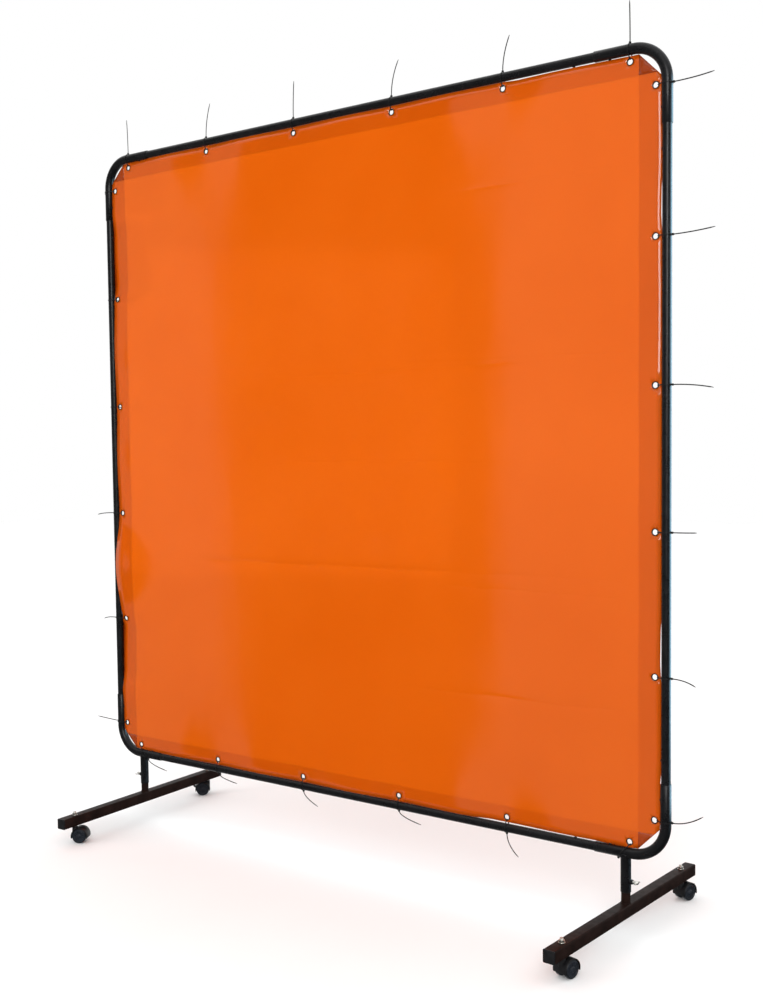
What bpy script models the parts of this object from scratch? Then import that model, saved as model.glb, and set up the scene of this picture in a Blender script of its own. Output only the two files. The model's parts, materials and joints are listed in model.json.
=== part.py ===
"""Rolling welding curtain screen: a square tube frame round a PVC curtain, on two foot bars with casters.

Metres, +Z up. The curtain hangs in the XZ plane and faces -Y. The origin is on the floor, under the
middle of the frame. Left is -X, right is +X, front is -Y and rear is +Y.
"""

import math

import bpy
from mathutils import Matrix, Vector

# Driving dimensions
SPAN = 1.850  # between the centre lines of opposite frame tubes, both ways
BOTTOM_RAIL_Z = 0.2025
RAIL_RADIUS = 0.011
RAIL_WALL = 0.0012
ELBOW_RADIUS = 0.0127
SOCKET_RADIUS = 0.0125
BORE_RADIUS = 0.0113  # of the elbows and the leg sockets, which the rails and the stubs plug into
BEND_RADIUS = 0.082
ELBOW_REACH = 0.178  # from the corner of the centre lines to the elbow's end
RAIL_INSERTION = 0.046
TUBE_SIDES = 20
BEND_STEPS = 7

POST_X = 0.825
SOCKET_BOTTOM = 0.108
SOCKET_TOP_GAP = 0.002  # of metal left between the socket's bore and the elbow's own bore
STUB_TOP = 0.176
STUB_WALL = 0.0012
CLAMP_Z = 0.134
WELD_NUT_RADIUS = 0.0058
WELD_NUT_LENGTH = 0.0055
BOLT_RADIUS = 0.0027
BOLT_HOLE_RADIUS = 0.0032

BAR_SIDE = 0.030
BAR_WALL = 0.0016
BAR_CORNER = 0.003
BAR_TOP = 0.081
FOOT_LENGTH = 0.690  # over the end caps
FOOT_TOE_IN = 2.75  # degrees that each foot's front end is turned inward in its socket
CAP_THICKNESS = 0.003
CAP_PLUG_LENGTH = 0.014
STEM_INSET = 0.054  # from the foot's end to the caster's stem

STEM_RADIUS = 0.004
STEM_HOLE_RADIUS = 0.0044
COLLAR_RADIUS = 0.0065
NUT_RADIUS = 0.0072
NUT_HEIGHT = 0.0062
THREAD_END = 0.0045

WHEEL_RADIUS = 0.021
WHEEL_INNER = 0.0062  # the wheels' inner and outer faces, from the caster's middle
WHEEL_OUTER = 0.0188
CASTER_TRAIL = 0.016
CASTER_TOP = 0.0465
HOOD_RADIUS = 0.0245
HOOD_CLEARANCE = 0.0225
HOOD_HALF_WIDTH = 0.0195
HOOD_BOTTOM = 0.0145
WEB_HALF_WIDTH = 0.0055
AXLE_RADIUS = 0.0029
AXLE_BORE = 0.0032
BRAKE_SLOT = 0.0024

EYELET_PITCH = 0.334
EYELET_COUNT = 6  # along each side
EYELET_INSET = 0.0273  # from the tube's centre line to the eyelet's centre
EYELET_HOLE = 0.0065
CURTAIN_SIDE = 1.821
CURTAIN_CHAMFER = 0.054
CURTAIN_THICKNESS = 0.0006

TIE_THICKNESS = 0.0011
TIE_WIDTH = 0.0026
TIE_CLEARANCE = 0.0004
TIE_HEAD = (0.0050, 0.0048, 0.0040)  # along the tube, across the sheet, outward
TIE_NOSE = 0.0205  # centre of the tie's tight turn through the eyelet, from the tube's centre line
TIE_NOSE_RADIUS = 0.0014
TIE_SKEW = 0.0287  # of the bottom side's outermost ties, which clears the leg sockets

GAP = 0.0003  # between pieces that touch
HALF = SPAN / 2
TOP_RAIL_Z = BOTTOM_RAIL_Z + SPAN
MID_Z = BOTTOM_RAIL_Z + HALF
STEM_Y = FOOT_LENGTH / 2 - STEM_INSET

# How each caster stands: the direction its wheels trail in, in degrees from the foot's right, and
# whether it has a brake
CASTERS = {
    "right_front": (80, False),
    "right_rear": (75, True),
    "left_front": (30, False),
    "left_rear": (222, True),
}

# Tie tails, counted along each side from left to right or from top to bottom: reach outward, then the
# drift along the tube and across the sheet, in millimetres
TAILS = {
    "top": [(100, 3, -6), (96, 10, 8), (94, 14, -12), (92, 16, 10), (80, 24, -8), (96, -4, 6)],
    "bottom": [(30, 72, -10), (26, 62, -14), (34, 58, 8), (30, 64, -10), (60, 26, -12), (14, -25, -54)],
    "right": [(96, -4, -8), (94, -8, 10), (98, 10, -6), (52, 0, 16), (66, 8, -24), (70, -24, 10)],
    "left": [(34, 6, -50), (34, -2, -72), (30, 4, -96), (94, 8, -14), (82, 12, -20), (60, -14, 34)],
}
# These ties have their heads behind the tube, so that their tails lie behind the curtain
TURNED_TIES = ("left_tie_2", "left_tie_3")


def clear_scene():
    for item in list(bpy.data.objects):
        bpy.data.objects.remove(item, do_unlink=True)


def material(name, color, roughness, metallic=0.0):
    made = bpy.data.materials.new(name)
    made.use_nodes = True
    shader = made.node_tree.nodes["Principled BSDF"]
    shader.inputs["Base Color"].default_value = (*color, 1.0)
    shader.inputs["Roughness"].default_value = roughness
    shader.inputs["Metallic"].default_value = metallic
    return made


def mesh_object(name, points, faces):
    mesh = bpy.data.meshes.new(name)
    mesh.from_pydata([tuple(p) for p in points], [], faces)
    mesh.update()
    made = bpy.data.objects.new(name, mesh)
    bpy.context.scene.collection.objects.link(made)
    return made


def finish(piece, look, edge_angle=35):
    """Gives the piece its material and shades its round faces smooth."""
    piece.data.materials.clear()
    piece.data.materials.append(look)
    piece.data.shade_smooth()
    piece.data.set_sharp_from_angle(angle=math.radians(edge_angle))
    return piece


def transformed(piece, matrix):
    piece.data.transform(matrix)
    piece.data.update()
    return piece


def placed(item, place, parent=None):
    """Puts an object at a place in its parent's frame."""
    item.parent = parent
    item.matrix_basis = place
    return item


def pivot(name, place, parent=None):
    """An empty on a joint's axis, which carries what turns about it."""
    made = bpy.data.objects.new(name, None)
    bpy.context.scene.collection.objects.link(made)
    return placed(made, place, parent)


def combine(piece, tool, operation):
    """Applies an exact Boolean of the two meshes to the first, and removes the second."""
    modifier = piece.modifiers.new(operation.lower(), "BOOLEAN")
    modifier.solver = "EXACT"
    modifier.operation = operation
    modifier.object = tool
    bpy.context.view_layer.update()
    result = bpy.data.meshes.new_from_object(piece.evaluated_get(bpy.context.evaluated_depsgraph_get()))
    piece.modifiers.clear()
    piece.data = result
    bpy.data.objects.remove(tool, do_unlink=True)
    return piece


def add(piece, tool):
    return combine(piece, tool, "UNION")


def cut(piece, tool):
    return combine(piece, tool, "DIFFERENCE")


def circle(radius, sides=TUBE_SIDES, turn=0.0):
    """Points of a circle, counter-clockwise."""
    return [
        (radius * math.cos(turn + 2 * math.pi * k / sides), radius * math.sin(turn + 2 * math.pi * k / sides))
        for k in range(sides)
    ]


def rounded_square(half, corner, steps=2):
    """A square's outline with round corners, counter-clockwise."""
    outline = []
    for quarter, (sx, sy) in enumerate([(1, 1), (-1, 1), (-1, -1), (1, -1)]):
        for k in range(steps + 1):
            angle = math.pi / 2 * (quarter + k / steps)
            outline.append(
                (
                    sx * (half - corner) + corner * math.cos(angle),
                    sy * (half - corner) + corner * math.sin(angle),
                )
            )
    return outline


def loft(name, rings, ring_closed=False):
    """A closed solid through rings of equal length. Rings turn counter-clockwise seen from the last one."""
    count = len(rings[0])
    faces = []
    last = len(rings) if ring_closed else len(rings) - 1
    for i in range(last):
        lower = i * count
        upper = ((i + 1) % len(rings)) * count
        for k in range(count):
            after = (k + 1) % count
            faces.append((lower + k, lower + after, upper + after, upper + k))
    if not ring_closed:
        faces.append(tuple(reversed(range(count))))
        faces.append(tuple(range((len(rings) - 1) * count, len(rings) * count)))
    return mesh_object(name, [p for ring in rings for p in ring], faces)


def prism(name, outline, low, high):
    """An outline in XY, extruded along Z."""
    return loft(name, [[(x, y, z) for x, y in outline] for z in (low, high)])


def turned(name, profile, sides=TUBE_SIDES):
    """A solid turned about Z, from (radius, z) points that run up its outer side, from axis to axis."""
    rings = [[(x, y, z) for x, y in circle(r, sides)] for r, z in profile[1:-1]]
    count = sides
    points = [p for ring in rings for p in ring]
    faces = []
    for i in range(len(rings) - 1):
        for k in range(count):
            after = (k + 1) % count
            faces.append((i * count + k, i * count + after, (i + 1) * count + after, (i + 1) * count + k))
    start = len(points)
    points += [(0, 0, profile[0][1]), (0, 0, profile[-1][1])]
    top_ring = (len(rings) - 1) * count
    for k in range(count):
        after = (k + 1) % count
        faces.append((start, after, k))
        faces.append((start + 1, top_ring + k, top_ring + after))
    return mesh_object(name, points, faces)


def along(axis, place=(0, 0, 0)):
    """Turns +Z to the axis, then moves to the place."""
    return Matrix.Translation(place) @ Vector(axis).to_track_quat("Z", "Y").to_matrix().to_4x4()


def rod(name, radius, start, end, sides=TUBE_SIDES, turn=0.0):
    """A plain cylinder from start to end."""
    axis = Vector(end) - Vector(start)
    piece = prism(name, circle(radius, sides, turn), 0, axis.length)
    return transformed(piece, along(axis, start))


def flat_path_sweep(name, path, radius):
    """A round bar along a path in the XZ plane."""
    rings = []
    for i, point in enumerate(path):
        before = path[max(i - 1, 0)]
        after = path[min(i + 1, len(path) - 1)]
        heading = math.atan2(after[1] - before[1], after[0] - before[0])
        side = (-math.sin(heading), math.cos(heading))
        rings.append(
            [(point[0] + side[0] * u, v, point[1] + side[1] * u) for v, u in circle(radius)]
        )
    return loft(name, rings)


def elbow_path(reach):
    """Centre line of an elbow in the corner between -X and -Z arms, with the corner at (0, 0)."""
    centre = -BEND_RADIUS
    bend = [
        (
            centre + BEND_RADIUS * math.cos(math.pi / 2 * (1 - k / BEND_STEPS)),
            centre + BEND_RADIUS * math.sin(math.pi / 2 * (1 - k / BEND_STEPS)),
        )
        for k in range(BEND_STEPS + 1)
    ]
    return [(-reach, 0), *bend, (0, -reach)]


def corner_elbow(name, sx, sz, look):
    """A bent tube in one corner of the frame. The lower two carry a welded leg socket and clamp nut."""
    overrun = 0.004
    piece = flat_path_sweep(name, elbow_path(ELBOW_REACH), ELBOW_RADIUS)
    bore = flat_path_sweep(name + "_bore", elbow_path(ELBOW_REACH + overrun), BORE_RADIUS)
    for part in (piece, bore):
        transformed(part, Matrix.Diagonal((sx, sx * sz, sz, 1)))
    if sz < 0:
        add_leg_socket(piece, sx)
    cut(piece, bore)
    if sz < 0:
        cut_leg_socket(piece, sx)
    corner = (sx * HALF, 0, TOP_RAIL_Z if sz > 0 else BOTTOM_RAIL_Z)
    return placed(finish(piece, look), Matrix.Translation(corner))


def leg_rod(name, radius, sx, bottom, top):
    """A rod on the leg's axis, in the frame of the lower elbow's corner."""
    x = sx * (POST_X - HALF)
    half_step = math.pi / TUBE_SIDES
    return rod(name, radius, (x, 0, bottom - BOTTOM_RAIL_Z), (x, 0, top - BOTTOM_RAIL_Z), turn=half_step)


def clamp_rod(name, radius, sx, length, sides):
    """A rod on the clamp bolt's axis that runs outward from the leg's axis, in the same frame."""
    x = sx * (POST_X - HALF)
    z = CLAMP_Z - BOTTOM_RAIL_Z
    return rod(name, radius, (x, 0, z), (x + sx * length, 0, z), sides)


def add_leg_socket(piece, sx):
    below_axis = 0.004
    add(piece, leg_rod("socket", SOCKET_RADIUS, sx, SOCKET_BOTTOM, BOTTOM_RAIL_Z - below_axis))
    add(piece, clamp_rod("weld_nut", WELD_NUT_RADIUS, sx, SOCKET_RADIUS + WELD_NUT_LENGTH, 6))


def cut_leg_socket(piece, sx):
    overrun = 0.01
    top = BOTTOM_RAIL_Z - ELBOW_RADIUS - SOCKET_TOP_GAP
    cut(piece, leg_rod("socket_bore", BORE_RADIUS, sx, SOCKET_BOTTOM - overrun, top))
    reach = SOCKET_RADIUS + WELD_NUT_LENGTH + overrun
    cut(piece, clamp_rod("clamp_hole", BOLT_HOLE_RADIUS, sx, reach, 12))


def rail(name, place, look):
    """A straight frame tube, open at both ends, modelled along Z about its middle."""
    reach = HALF - ELBOW_REACH + RAIL_INSERTION
    overrun = 0.01
    piece = rod(name, RAIL_RADIUS, (0, 0, -reach), (0, 0, reach))
    cut(piece, rod("inside", RAIL_RADIUS - RAIL_WALL, (0, 0, -reach - overrun), (0, 0, reach + overrun)))
    return placed(finish(piece, look), place)


def make_frame(look):
    for end, sz in (("bottom", -1), ("top", 1)):
        for side, sx in (("left", -1), ("right", 1)):
            corner_elbow(f"{end}_{side}_elbow", sx, sz, look)
    level = Matrix.Rotation(math.pi / 2, 4, "Y")
    rail("top_rail", Matrix.Translation((0, 0, TOP_RAIL_Z)) @ level, look)
    rail("bottom_rail", Matrix.Translation((0, 0, BOTTOM_RAIL_Z)) @ level, look)
    rail("left_upright", Matrix.Translation((-HALF, 0, MID_Z)), look)
    rail("right_upright", Matrix.Translation((HALF, 0, MID_Z)), look)


def foot_bar(name, leg, look):
    """A square foot bar with a welded stub that slides up into the leg socket."""
    half = FOOT_LENGTH / 2 - CAP_THICKNESS - GAP
    overrun = 0.01
    lay = Matrix.Translation((0, 0, BAR_TOP - BAR_SIDE / 2)) @ Matrix.Rotation(math.pi / 2, 4, "X")
    piece = transformed(prism(name, rounded_square(BAR_SIDE / 2, BAR_CORNER), -half, half), lay)
    add(piece, rod("stub", RAIL_RADIUS, (0, 0, BAR_TOP - BAR_WALL / 2), (0, 0, STUB_TOP)))
    inner = rounded_square(BAR_SIDE / 2 - BAR_WALL, BAR_CORNER - BAR_WALL)
    cut(piece, transformed(prism("bar_inside", inner, -half - overrun, half + overrun), lay))
    weld = 0.001
    cut(piece, rod("stub_bore", RAIL_RADIUS - STUB_WALL, (0, 0, BAR_TOP + weld), (0, 0, STUB_TOP + overrun)))
    for y in (-STEM_Y, STEM_Y):
        low = (0, y, BAR_TOP - BAR_SIDE - overrun)
        cut(piece, rod("stem_hole", STEM_HOLE_RADIUS, low, (0, y, BAR_TOP + overrun), 12))
    return placed(finish(piece, look), Matrix.Identity(4), leg)


def end_cap(name, leg, sy, look):
    """A plastic cap whose plug fills the bar's end."""
    plug_half = BAR_SIDE / 2 - BAR_WALL - GAP
    plug_corner = BAR_CORNER - BAR_WALL - 0.0002
    overlap = 0.001
    piece = prism(name, rounded_square(BAR_SIDE / 2, BAR_CORNER), -CAP_THICKNESS, 0)
    add(piece, prism("plug", rounded_square(plug_half, plug_corner), -overlap, CAP_PLUG_LENGTH))
    mouth = (0, sy * (FOOT_LENGTH / 2 - CAP_THICKNESS), BAR_TOP - BAR_SIDE / 2)
    return placed(finish(piece, look), along((0, -sy, 0), mouth), leg)


def wing_bolt(name, sx, look):
    """A clamp bolt through the weld nut. It presses on the stub, and its two wings lie level."""
    tip = RAIL_RADIUS + GAP
    hub_start = SOCKET_RADIUS + WELD_NUT_LENGTH + 0.0015
    hub_end = hub_start + 0.009
    hub_shoulder = hub_start + 0.006
    hub_radius = 0.0045
    wing_thickness = 0.0024
    profile = [
        (0, tip),
        (BOLT_RADIUS * 0.7, tip),
        (BOLT_RADIUS, tip + 0.0008),
        (BOLT_RADIUS, hub_start),
        (hub_radius, hub_start),
        (hub_radius, hub_shoulder),
        (hub_radius * 0.7, hub_end),
        (0, hub_end),
    ]
    piece = turned(name, profile, 12)
    wing = [
        (0.002, 0.001), (0.0085, 0.0035), (0.0125, 0.009),
        (0.011, 0.0125), (0.007, 0.0115), (0.002, 0.008),
    ]
    stand = Matrix(((0, 0, 1, 0), (1, 0, 0, 0), (0, 1, 0, 0), (0, 0, 0, 1)))
    for side in (1, -1):
        outline = [(side * y, hub_start + z) for y, z in wing[::side]]
        add(piece, transformed(prism("wing", outline, -wing_thickness / 2, wing_thickness / 2), stand))
    lie = Matrix.Translation((sx * POST_X, 0, CLAMP_Z)) @ Matrix.Rotation(sx * math.pi / 2, 4, "Y")
    return placed(finish(piece, look), lie)


def caster_stem(name, leg, sy, look):
    """A threaded stem through the foot bar, with its collar below the bar and its nut above."""
    low, high = 0.026, BAR_TOP + NUT_HEIGHT + THREAD_END
    piece = rod(name, STEM_RADIUS, (0, 0, low), (0, 0, high), 12)
    add(piece, rod("collar", COLLAR_RADIUS, (0, 0, CASTER_TOP + GAP), (0, 0, BAR_TOP - BAR_SIDE - GAP), 16))
    add(piece, rod("nut", NUT_RADIUS, (0, 0, BAR_TOP + GAP), (0, 0, BAR_TOP + NUT_HEIGHT), 6))
    return placed(finish(piece, look), Matrix.Translation((0, sy * STEM_Y, 0)), leg)


def caster_housing(name, swivel, braked, look):
    """The hood, web and axle of a twin-wheel caster, with its swivel axis on Z and its axle along Y."""
    sides = 24
    room = 0.03
    boss_radius, boss_bottom = 0.0085, 0.020
    axle_half = 0.016
    axle = Vector((CASTER_TRAIL, 0, WHEEL_RADIUS))
    across = Vector((0, 1, 0))
    piece = rod(name, HOOD_RADIUS, axle - across * HOOD_HALF_WIDTH, axle + across * HOOD_HALF_WIDTH, sides)
    add(piece, rod("boss", boss_radius, (0, 0, boss_bottom), (0, 0, CASTER_TOP), 16))
    for side in (1, -1):
        web_face = axle + across * side * WEB_HALF_WIDTH
        cut(piece, rod("wheel_room", HOOD_CLEARANCE, web_face, axle + across * side * room, sides))
    cut(piece, prism("below", rounded_square(2 * room, 0.01), -0.02, HOOD_BOTTOM))
    if braked:
        slot_back, slot_front, slot_top = CASTER_TRAIL - 0.001, CASTER_TRAIL + room, 0.0405
        slot = [(slot_back, 0), (slot_front, 0), (slot_front, slot_top), (slot_back, slot_top)]
        brake_room = prism("brake_room", slot, -BRAKE_SLOT, BRAKE_SLOT)
        cut(piece, transformed(brake_room, Matrix.Rotation(math.pi / 2, 4, "X")))
        cut(piece, rod("hub_room", boss_radius, axle - across * BRAKE_SLOT, axle + across * BRAKE_SLOT, 16))
    add(piece, rod("axle", AXLE_RADIUS, axle - across * axle_half, axle + across * axle_half, 12))
    bore_bottom = 0.0255
    cut(piece, rod("stem_bore", STEM_HOLE_RADIUS, (0, 0, bore_bottom), (0, 0, CASTER_TOP + 0.01), 12))
    return placed(finish(piece, look), Matrix.Identity(4), swivel)


def caster_wheel(name, swivel, side, look):
    """A wheel with a round-shouldered tread, a dished outer face and a blind bore, turned about its axle."""
    width = WHEEL_OUTER - WHEEL_INNER
    bore_depth = 0.0105
    shoulder = 0.0022
    profile = [
        (0, bore_depth),
        (AXLE_BORE, bore_depth),
        (AXLE_BORE, 0),
        (WHEEL_RADIUS - shoulder, 0),
        (WHEEL_RADIUS, shoulder),
        (WHEEL_RADIUS, width - shoulder),
        (WHEEL_RADIUS - shoulder, width),
        (WHEEL_RADIUS - 0.0050, width),
        (WHEEL_RADIUS - 0.0075, width - 0.0010),
        (0, width - 0.0003),
    ]
    piece = turned(name, profile)
    stand = along((0, side, 0), (CASTER_TRAIL, side * WHEEL_INNER, WHEEL_RADIUS))
    return placed(finish(piece, look), stand, swivel)


def brake_lever(name, swivel, look):
    """A pedal that turns on the axle: a ring in the housing's slot, an arm, and a toe pad in front."""
    half = BRAKE_SLOT - GAP
    ring_radius = 0.0070
    pad_half_width = 0.0065
    arm = [(0.004, -0.002), (0.0262, -0.001), (0.0262, 0.0035), (0.004, 0.003)]
    pad = [(0.0256, -0.0015), (0.0330, 0.0035), (0.0335, 0.0060), (0.0320, 0.0066), (0.0252, 0.0050)]
    tilt = Matrix.Rotation(math.radians(12), 4, "Z")
    piece = prism(name, circle(ring_radius, 16), -half, half)
    add(piece, transformed(prism("arm", arm, -half, half), tilt))
    add(piece, transformed(prism("pad", pad, -pad_half_width, pad_half_width), tilt))
    cut(piece, rod("axle_room", AXLE_BORE, (0, 0, -0.01), (0, 0, 0.01), 12))
    stand = Matrix.Translation((CASTER_TRAIL, 0, WHEEL_RADIUS)) @ Matrix.Rotation(math.pi / 2, 4, "X")
    return placed(finish(piece, look), stand, swivel)


def make_foot(side, sx, bar_look, cap_look, zinc, housing_look, wheel_look):
    """One foot: all of it turns about the leg's axis, and each caster about its own stem."""
    toe_in = Matrix.Rotation(math.radians(-sx * FOOT_TOE_IN), 4, "Z")
    leg = pivot(f"{side}_leg_axis", Matrix.Translation((sx * POST_X, 0, 0)) @ toe_in)
    foot_bar(f"{side}_foot_bar", leg, bar_look)
    for end, sy in (("front", -1), ("rear", 1)):
        name = f"{side}_{end}"
        trail_angle, braked = CASTERS[name]
        end_cap(f"{name}_cap", leg, sy, cap_look)
        caster_stem(f"{name}_stem", leg, sy, zinc)
        turn = Matrix.Rotation(math.radians(trail_angle), 4, "Z")
        swivel = pivot(f"{name}_swivel_axis", Matrix.Translation((0, sy * STEM_Y, 0)) @ turn, leg)
        caster_housing(f"{name}_housing", swivel, braked, housing_look)
        for letter, wheel_side in (("a", 1), ("b", -1)):
            caster_wheel(f"{name}_wheel_{letter}", swivel, wheel_side, wheel_look)
        if braked:
            brake_lever(f"{name}_brake", swivel, housing_look)


def side_matrix(side):
    """Maps a side's own frame (along the tube, across the sheet, outward) to the world."""
    columns = {
        "top": ((1, 0, 0), (0, 1, 0), (0, 0, 1), (0, 0, TOP_RAIL_Z)),
        "bottom": ((1, 0, 0), (0, -1, 0), (0, 0, -1), (0, 0, BOTTOM_RAIL_Z)),
        "right": ((0, 0, -1), (0, 1, 0), (1, 0, 0), (HALF, 0, MID_Z)),
        "left": ((0, 0, -1), (0, -1, 0), (-1, 0, 0), (-HALF, 0, MID_Z)),
    }[side]
    made = Matrix.Identity(4)
    for k, column in enumerate(columns):
        made.col[k] = (*column, 1.0 if k == 3 else 0.0)
    return made


def eyelet_places():
    """Distances of one side's eyelets from its middle."""
    return [(k - (EYELET_COUNT - 1) / 2) * EYELET_PITCH for k in range(EYELET_COUNT)]


def curtain(look):
    """The sheet, with its mitred corners and one hole for each eyelet."""
    half = CURTAIN_SIDE / 2
    short = half - CURTAIN_CHAMFER
    outline = [
        (short, -half), (half, -short), (half, short), (short, half),
        (-short, half), (-half, short), (-half, -short), (-short, -half),
    ]
    thick = CURTAIN_THICKNESS / 2
    piece = transformed(prism("curtain", outline, -thick, thick), Matrix.Rotation(math.pi / 2, 4, "X"))
    middle = Matrix.Translation((0, 0, MID_Z))
    for side in TAILS:
        to_sheet = middle.inverted() @ side_matrix(side)
        for along_tube in eyelet_places():
            start, end = (to_sheet @ Vector((along_tube, y, -EYELET_INSET)) for y in (-0.005, 0.005))
            cut(piece, rod("eyelet_hole", EYELET_HOLE, start, end, 10))
    return placed(finish(piece, look), middle)


def tie_loop_points(tube_radius, offset):
    """The tie's loop, in (across the sheet, outward): round the tube and through the eyelet."""
    big = tube_radius + TIE_CLEARANCE + offset
    small = TIE_NOSE_RADIUS + offset
    lean = math.asin((big - small) / TIE_NOSE)
    big_steps, small_steps = 11, 4
    points = []
    for k in range(big_steps + 1):
        angle = -lean + (math.pi + 2 * lean) * k / big_steps
        points.append((big * math.cos(angle), big * math.sin(angle)))
    for k in range(small_steps + 1):
        angle = math.pi + lean + (math.pi - 2 * lean) * k / small_steps
        points.append((small * math.cos(angle), small * math.sin(angle) - TIE_NOSE))
    return points


def cable_tie(name, side, along_tube, tube_radius, tail, skew, look):
    """A closed strap through the eyelet and round the tube, with its head and tail on the outer side.

    The skew moves the strap along the tube as it leaves the eyelet, to clear a leg socket.
    """
    half = TIE_WIDTH / 2
    inner = tie_loop_points(tube_radius, 0)
    outer = tie_loop_points(tube_radius, TIE_THICKNESS)
    reach = TIE_NOSE + tube_radius

    def shift(outward):
        return skew * min(1.0, (outward + TIE_NOSE) / reach)

    swing = Matrix.Rotation(math.pi / 2 if name in TURNED_TIES else 0.0, 4, "X")
    rings = []
    for (y0, z0), (y1, z1) in zip(inner, outer):
        low, high = shift(z0), shift(z1)
        strap = [(low - half, y0, z0), (low + half, y0, z0), (high + half, y1, z1), (high - half, y1, z1)]
        rings.append(strap)
    piece = loft(name, rings, ring_closed=True)
    base = tube_radius + TIE_CLEARANCE + TIE_THICKNESS * 0.4
    head_half = TIE_HEAD[0] / 2
    block = [(skew - head_half, -TIE_HEAD[1] / 2), (skew + head_half, -TIE_HEAD[1] / 2)]
    block += [(skew + head_half, TIE_HEAD[1] / 2), (skew - head_half, TIE_HEAD[1] / 2)]
    add(piece, transformed(prism("head", block, base, base + TIE_HEAD[2]), swing))
    add(piece, transformed(tie_tail(skew, base + TIE_HEAD[2] * 0.5, tail), swing))
    return placed(finish(piece, look), side_matrix(side) @ Matrix.Translation((along_tube, 0, 0)))


def tie_tail(start_along, start_out, tail):
    """The strap's free end, which leaves the head straight out and drifts more and more."""
    reach, drift_along, drift_across = (0.001 * value for value in tail)
    steps = 4
    centres = []
    for k in range(steps + 1):
        share = k / steps
        bend = share**1.7
        centres.append(
            Vector((start_along + drift_along * bend, drift_across * bend, start_out + reach * share**0.85))
        )
    rings = []
    for k, centre in enumerate(centres):
        heading = (centres[min(k + 1, steps)] - centres[max(k - 1, 0)]).normalized()
        wide = Vector((0, 1, 0)).cross(heading).normalized()
        thick = heading.cross(wide)
        corners = [(-1, -1), (1, -1), (1, 1), (-1, 1)]
        rings.append([centre + wide * TIE_WIDTH / 2 * u + thick * TIE_THICKNESS / 2 * v for u, v in corners])
    return loft("tail", rings)


def make_ties(look):
    reach = HALF - ELBOW_REACH
    for side, tails in TAILS.items():
        for number, (along_tube, tail) in enumerate(zip(eyelet_places(), tails), start=1):
            on_elbow = abs(along_tube) > reach
            radius = ELBOW_RADIUS if on_elbow else RAIL_RADIUS
            skew = 0.0
            if side == "bottom" and on_elbow:
                skew = math.copysign(TIE_SKEW, -along_tube)
            cable_tie(f"{side}_tie_{number}", side, along_tube, radius, tail, skew, look)


def main():
    clear_scene()
    black_paint = material("black_powder_coat", (0.012, 0.012, 0.013), 0.38)
    base_paint = material("base_powder_coat", (0.020, 0.016, 0.015), 0.42)
    zinc = material("zinc_plate", (0.62, 0.62, 0.60), 0.32, 1.0)
    black_plastic = material("black_plastic", (0.015, 0.015, 0.016), 0.45)
    wheel_plastic = material("wheel_plastic", (0.018, 0.020, 0.024), 0.5)
    pvc = material("orange_pvc", (0.86, 0.16, 0.015), 0.12)
    nylon = material("black_nylon", (0.014, 0.014, 0.014), 0.5)

    make_frame(black_paint)
    for side, sx in (("left", -1), ("right", 1)):
        make_foot(side, sx, base_paint, black_plastic, zinc, black_plastic, wheel_plastic)
        wing_bolt(f"{side}_wing_bolt", sx, zinc)
    curtain(pvc)
    make_ties(nylon)


main()
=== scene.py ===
"""Looks of the rolling welding curtain screen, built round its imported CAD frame.

Metres, +Z up. The curtain hangs in the XZ plane, -Y is the front, and +X is the right.
"""
import json
import math

import bpy
from mathutils import Matrix, Vector, noise
from mathutils.geometry import delaunay_2d_cdt

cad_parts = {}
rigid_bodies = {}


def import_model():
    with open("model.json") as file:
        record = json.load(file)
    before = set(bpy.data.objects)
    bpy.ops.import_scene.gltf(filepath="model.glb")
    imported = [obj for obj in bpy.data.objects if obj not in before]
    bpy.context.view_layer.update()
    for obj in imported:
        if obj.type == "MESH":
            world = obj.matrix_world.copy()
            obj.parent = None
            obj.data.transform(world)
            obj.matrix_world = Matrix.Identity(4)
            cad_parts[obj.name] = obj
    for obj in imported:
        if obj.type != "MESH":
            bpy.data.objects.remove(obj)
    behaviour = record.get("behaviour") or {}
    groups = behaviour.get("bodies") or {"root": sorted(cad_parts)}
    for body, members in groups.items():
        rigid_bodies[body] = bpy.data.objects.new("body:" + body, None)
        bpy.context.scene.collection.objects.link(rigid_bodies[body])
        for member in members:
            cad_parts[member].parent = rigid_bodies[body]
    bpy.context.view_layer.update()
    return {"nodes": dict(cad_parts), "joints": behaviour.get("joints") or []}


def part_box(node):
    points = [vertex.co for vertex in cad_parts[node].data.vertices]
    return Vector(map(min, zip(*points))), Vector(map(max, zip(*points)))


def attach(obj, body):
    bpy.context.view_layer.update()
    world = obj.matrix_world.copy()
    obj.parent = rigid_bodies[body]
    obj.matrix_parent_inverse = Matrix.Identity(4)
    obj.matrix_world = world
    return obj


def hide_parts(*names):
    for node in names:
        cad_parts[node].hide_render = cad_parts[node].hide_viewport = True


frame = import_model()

# Camera
CAMERA_PLACE = (2.057, -2.606, 1.168)
CAMERA_YAW, CAMERA_PITCH, CAMERA_ROLL = 36.63, -3.36, 0.66
CAMERA_LENS = 44.0
CAMERA_SHIFT = (0.0, 0.016)

# Curtain
HEM_SIDE, HEM_TOP, HEM_BOTTOM = 0.054, 0.047, 0.040
CHAMFER = 0.054
PVC_THICKNESS = 0.0005
LAYER_STEP = 0.0006
GRID_STEP = 0.015
HEM_LINES = (0.003, 0.0048, 0.006, 0.0072, 0.009, 0.014, 0.02, 0.03, 0.04, 0.05)
EYELET_PITCH = 0.334
EYELET_COUNT = 6
EYELET_INSET = 0.0273
EYELET_HOLE = 0.0065
EYELET_FLANGE = 0.0087
EYELET_CUT = EYELET_HOLE + 0.0012
CUT_SIDES = 20

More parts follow.
